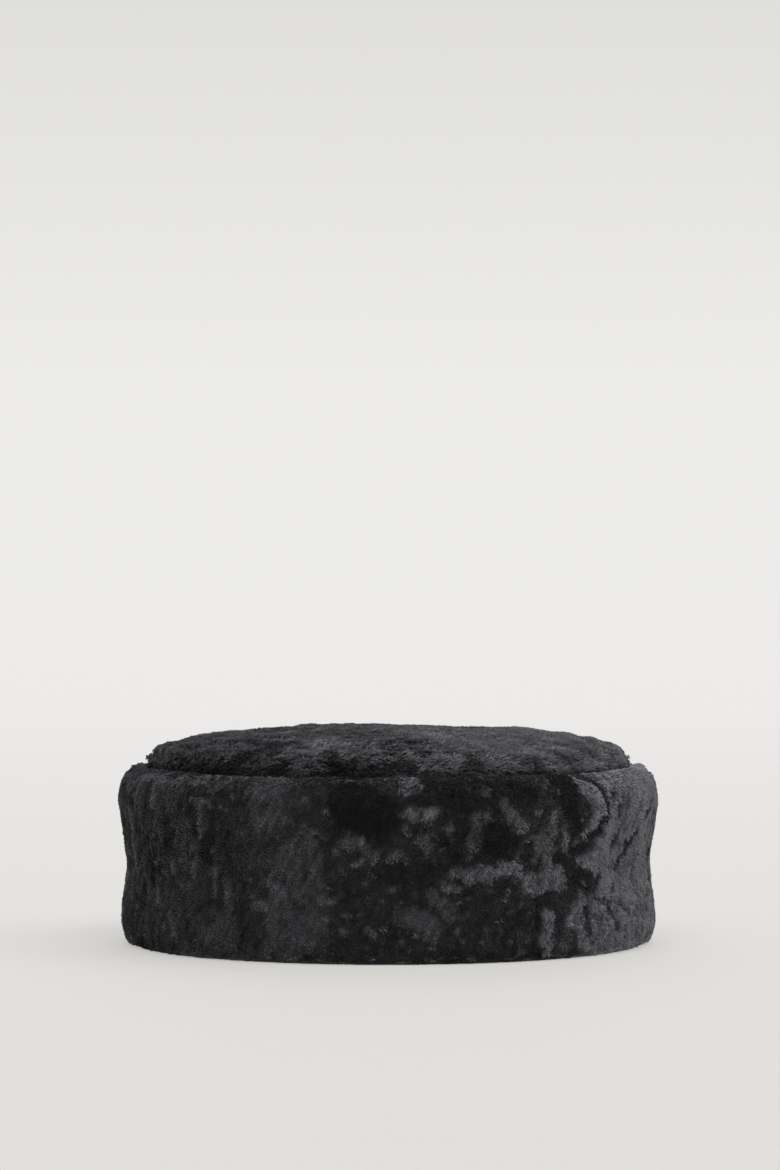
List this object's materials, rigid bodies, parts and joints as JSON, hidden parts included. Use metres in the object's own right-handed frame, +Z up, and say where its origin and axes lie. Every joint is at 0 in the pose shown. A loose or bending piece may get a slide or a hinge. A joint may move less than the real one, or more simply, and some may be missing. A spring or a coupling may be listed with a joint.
{
  "type": "shearling pillbox hat",
  "caption": "Brimless round hat of sheared sheepskin: an upright oval side band with a puffed flat-topped crown sewn inside its top edge, hollow for the head.",
  "frame": {"origin": "middle of the hat's outline seen from above, on the surface that the hem rests on", "axes": "+Z up through the crown, -Y towards the front of the hat as worn, +X towards the wearer's left"},
  "size_m": [0.2082, 0.2206, 0.0833],
  "materials": {
    "sheared_wool": "charcoal black sheepskin wool, sheared even, with a soft sheen where the nap lies over",
    "curled_wool": "charcoal black sheepskin wool, a little longer and curled into short locks"
  },
  "bodies": {
    "root": {"side_band": "sheared_wool", "crown_tip": "curled_wool"}
  },
  "joints": []
}
